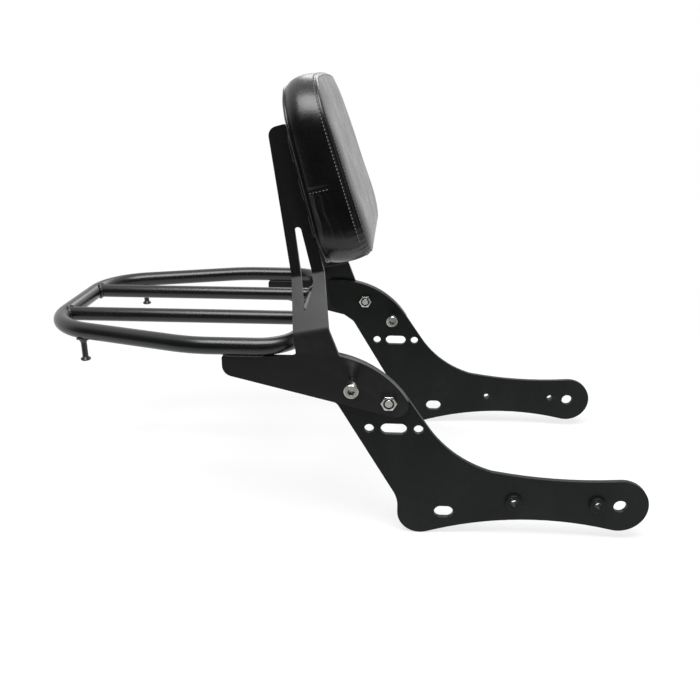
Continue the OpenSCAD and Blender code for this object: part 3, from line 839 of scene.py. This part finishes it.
def leatherette(name, dark, light, rough, cell_scale):
    """Coated cloth with an embossed grain of small rounded cells, glossy on top."""
    made, tree, shader, point = new_material(name)
    hide = place_group(tree, leather_grain, Point=point, Cells=cell_scale)
    tree.links.new(blend_colours(tree, hide.outputs["Shade"], dark, light), shader.inputs["Base Color"])
    worn = math_node(tree, "MULTIPLY_ADD", hide.outputs["Shade"], 0.18, rough - 0.09)
    pore = math_node(tree, "MULTIPLY_ADD", hide.outputs["Height"], -0.08, worn)
    tree.links.new(pore, shader.inputs["Roughness"])
    shader.inputs["Specular IOR Level"].default_value = 0.5
    bump = shader_node(tree, "Bump", None, Strength=0.22, Distance=0.00012, Height=hide.outputs["Height"])
    tree.links.new(bump.outputs[0], shader.inputs["Normal"])
    return made


cover = leatherette(
    "black_leatherette", (0.001, 0.0011, 0.001, 1), (0.0028, 0.003, 0.0028, 1),
    rough=0.32, cell_scale=1100.0
)
cushion = new_piece("cushion_cover", cushion_points, cushion_faces, cover)
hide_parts("pad_cushion")

# Pad cord. A soft cord sewn in the same leatherette along the back edge of the side
# strip, where the cover turns over the board.

CORD_R = 0.0012
CORD_OUT = 0.0016
CORD_SIDES = 12
cord_line = pad_line - pad_side * (STRIP_IN + rear_round(outline_up, CORD_OUT))[:, None]
cord_path = pad_points(cord_line[:, 0], cord_line[:, 1], CORD_OUT)
cord_out = pad_side[:, 0:1] * np.array([0.0, 1.0, 0.0]) + pad_side[:, 1:2] * PAD_UP
cord_up = np.broadcast_to(PAD_OUT, cord_path.shape)
new_piece(
    "cushion_cord",
    swept_rings(cord_path, CORD_R, CORD_SIDES, cord_out, cord_up),
    grid_faces(count_around, CORD_SIDES, True, True)[:, ::-1],
    cover,
)

# Pad stitches. Two rows of dark grey thread, one on each side of the front seam, and a
# shorter row beside the joint on each side. Each stitch is pulled a little into the cover.

STITCH_RINGS = 5
STITCH_SIDES = 8
SEAM_STITCH = 0.0022
SEAM_PITCH = 0.0031
SEAM_THREAD_R = 0.0005
PANEL_THREAD_R = 0.0003
JOINT_STITCH = 0.0020
JOINT_PITCH = 0.0028
JOINT_THREAD_R = 0.00034
UNDER_JOINT = 0.0030
JOINT_ROW_SHARE = 0.62
FAR_OFF = 9
thread, thread_tree, thread_shader, thread_point = new_material("black_thread")
twist = shader_node(thread_tree, "TexNoise", None, Vector=thread_point, Scale=2600.0, Detail=2.0)
thread_tree.links.new(
    blend_colours(thread_tree, twist.outputs[0], (0.05, 0.05, 0.05, 1), (0.16, 0.16, 0.16, 1)),
    thread_shader.inputs["Base Color"],
)
thread_shader.inputs["Roughness"].default_value = 0.6


def stitch_row(line, outward, closed, length, pitch, radius):
    """Stitches along a line, one for every pitch: each is an arched capsule of eight sides
    and five rings, lifted along the outward direction and half sunk at both ends."""
    if closed:
        line = np.concatenate([line, line[:1]])
        outward = np.concatenate([outward, outward[:1]])
    run = np.concatenate([[0], np.cumsum(np.linalg.norm(np.diff(line, axis=0), axis=1))])
    count = int(run[-1] / pitch)
    place = (np.arange(count) + 0.5) * run[-1] / count
    along = np.linspace(-0.5, 0.5, STITCH_RINGS)
    spot = place[:, None] + along[None, :] * length
    axis = np.stack([np.interp(spot, run, line[:, k]) for k in range(3)], -1)
    lift = unit(np.stack([np.interp(spot, run, outward[:, k]) for k in range(3)], -1))
    axis = axis + lift * radius * (0.35 - 2.2 * along**2)[None, :, None]
    ahead = unit(np.gradient(axis, axis=1))
    across = np.cross(ahead, lift)
    width = radius * np.array([0.25, 0.9, 1.0, 0.9, 0.25])[None, :, None, None]
    a = np.linspace(0, 2 * np.pi, STITCH_SIDES, endpoint=False)[None, None, :, None]
    rings = axis[:, :, None] + width * (np.cos(a) * across[:, :, None] + np.sin(a) * lift[:, :, None])
    one = grid_faces(STITCH_RINGS, STITCH_SIDES, False, True)
    faces = one[None] + STITCH_RINGS * STITCH_SIDES * np.arange(count)[:, None, None]
    return rings.reshape(-1, 3), faces.reshape(-1, 4)


stitches = []
before_welt = side_rings[-len(welt) - 1]
for seam_row, lean_out, thread_r in (
    (before_welt, 1.0, SEAM_THREAD_R),
    (front_rings[1], 0.6, PANEL_THREAD_R),
):
    lifted = unit(cord_out * lean_out + cord_up * (1.1 - lean_out))
    stitches.append(stitch_row(seam_row, lifted, True, SEAM_STITCH, SEAM_PITCH, thread_r))
strip_start = len(rear_rows)
strip_end = strip_start + int(JOINT_ROW_SHARE * STRIP_ROWS)
for side in (-1, 1):
    other_side = np.sign(outline_y) != side
    off_joint = np.abs(outline_up - JOINT_UP + UNDER_JOINT) + FAR_OFF * other_side
    across_strip = side_rings[strip_start:strip_end, int(np.argmin(off_joint))]
    away = np.broadcast_to([0.0, side, 0.0], across_strip.shape)
    stitches.append(stitch_row(across_strip, away, False, JOINT_STITCH, JOINT_PITCH, JOINT_THREAD_R))
stitch_points, stitch_faces = join_pieces(stitches)
new_piece("cushion_stitches", stitch_points, stitch_faces, thread)

# Studio. A pale floor under the heels of the side plates that turns white with distance,
# a white surround that is dimmer behind the camera, a wide soft box overhead, a weak one
# behind, and the camera, which stands to the right of the motorcycle.

WHITE = (1, 1, 1, 1)
FLOOR_Z = float(cad_low.z) - 0.0004
FLOOR_HALF = 30
FLOOR_MIDDLE = (-0.27, 0.0, 0.0)
floor_steps = (-FLOOR_HALF, FLOOR_HALF)
floor_points = [(x, y, FLOOR_Z) for y in floor_steps for x in floor_steps]
floor_mesh = bpy.data.meshes.new("floor")
floor_mesh.from_pydata(floor_points, [], [(0, 1, 3, 2)])
floor = bpy.data.objects.new("floor", floor_mesh)
bpy.context.scene.collection.objects.link(floor)
pale = bpy.data.materials.new("pale_floor")
pale.use_nodes = True
pale_tree = pale.node_tree
pale_shader = pale_tree.nodes["Principled BSDF"]
pale_shader.inputs["Base Color"].default_value = (0.88, 0.88, 0.88, 1)
pale_shader.inputs["Roughness"].default_value = 0.9
pale_shader.inputs["Specular IOR Level"].default_value = 0.0

# The camera sees the floor as two thirds glow and one third matt floor near the part, where
# it takes a soft shadow, and as glow alone from a metre on. Reflections see only the glow,
# which is dim on the camera's side.

floor_rays = shader_node(pale_tree, "LightPath")
seen_floor = floor_rays.outputs["Is Camera Ray"]
floor_point = object_point(pale_tree)
from_part = shader_node(pale_tree, "VectorMath", {"operation": "DISTANCE"}, i0=floor_point, i1=FLOOR_MIDDLE)
whitening = fading(pale_tree, from_part.outputs["Value"], 0.35, 1.0, 0.68, 1.0, "SMOOTHSTEP")
floor_way = shader_node(pale_tree, "SeparateXYZ", None, Vector=floor_point)
floor_mirrored = fading(pale_tree, floor_way.outputs["Y"], -0.85, -0.2, 0.03, 1.0, "SMOOTHSTEP")
to_camera = math_node(pale_tree, "MULTIPLY", seen_floor, whitening)
shown = math_node(pale_tree, "MAXIMUM", to_camera, floor_rays.outputs["Is Glossy Ray"])
glow = shader_node(pale_tree, "Mix", {"data_type": "FLOAT"}, i0=seen_floor, i2=floor_mirrored, i3=1.0)
white = shader_node(pale_tree, "Emission", None, Strength=glow.outputs[0])
lit = shader_node(pale_tree, "MixShader", None, i0=shown)
pale_tree.links.new(pale_shader.outputs[0], lit.inputs[1])
pale_tree.links.new(white.outputs[0], lit.inputs[2])
pale_tree.links.new(lit.outputs[0], pale_tree.nodes["Material Output"].inputs["Surface"])
floor_mesh.materials.append(pale)

# The surround is white to the camera and weaker as a light. Reflections see it white, but
# dim behind the camera.

SKY_FILL = 0.45
world = bpy.data.worlds.new("studio")
bpy.context.scene.world = world
world.use_nodes = True
sky_tree = world.node_tree
sky_rays = shader_node(sky_tree, "LightPath")
sky_point = shader_node(sky_tree, "TexCoord").outputs["Generated"]
sky_way = shader_node(sky_tree, "SeparateXYZ", None, Vector=sky_point)
sky_mirrored = fading(sky_tree, sky_way.outputs["Y"], -0.5, 0.1, 0.05, 1.0, "SMOOTHSTEP")
glossy_ray = sky_rays.outputs["Is Glossy Ray"]
gloss = math_node(sky_tree, "MAXIMUM", glossy_ray, sky_rays.outputs["Is Transmission Ray"])
gloss_level = math_node(sky_tree, "MULTIPLY", gloss, sky_mirrored)
fill_level = math_node(sky_tree, "MULTIPLY", math_node(sky_tree, "SUBTRACT", 1.0, gloss), SKY_FILL)
room_level = math_node(sky_tree, "ADD", gloss_level, fill_level)
sky_level = math_node(sky_tree, "MAXIMUM", room_level, sky_rays.outputs["Is Camera Ray"])
backdrop = sky_tree.nodes["Background"]
sky_tree.links.new(sky_level, backdrop.inputs["Strength"])
backdrop.inputs["Color"].default_value = WHITE


LAMP_AIM = (-0.28, 0.0, 0.15)


def soft_box(name, place, size, watts):
    """Rectangular lamp at a place, which faces the middle of the part."""
    lamp = bpy.data.lights.new(name, "AREA")
    lamp.shape = "RECTANGLE"
    lamp.size = size[0]
    lamp.size_y = size[1]
    lamp.energy = watts
    box = bpy.data.objects.new(name, lamp)
    bpy.context.scene.collection.objects.link(box)
    box.location = place
    ray = np.subtract(LAMP_AIM, place)
    box.rotation_euler = (
        math.acos(-ray[2] / np.linalg.norm(ray)),
        0.0,
        math.atan2(ray[1], ray[0]) - math.pi / 2,
    )


soft_box("overhead", (-0.25, -0.45, 1.25), size=(1.1, 0.7), watts=22.0)
soft_box("rear_fill", (-0.1, 1.3, 1.1), size=(1.0, 0.6), watts=7.0)

camera_data = bpy.data.cameras.new("camera")
camera_data.lens = 39.25
camera_data.sensor_width = 36.0
camera = bpy.data.objects.new("camera", camera_data)
bpy.context.scene.collection.objects.link(camera)
camera.location = (-0.2156, -0.7695, 0.3882)
camera.rotation_euler = (math.radians(90 - 20.144), 0.0, math.radians(3.633))
bpy.context.scene.camera = camera
bpy.context.scene.view_settings.view_transform = "Standard"

bpy.context.view_layer.update()
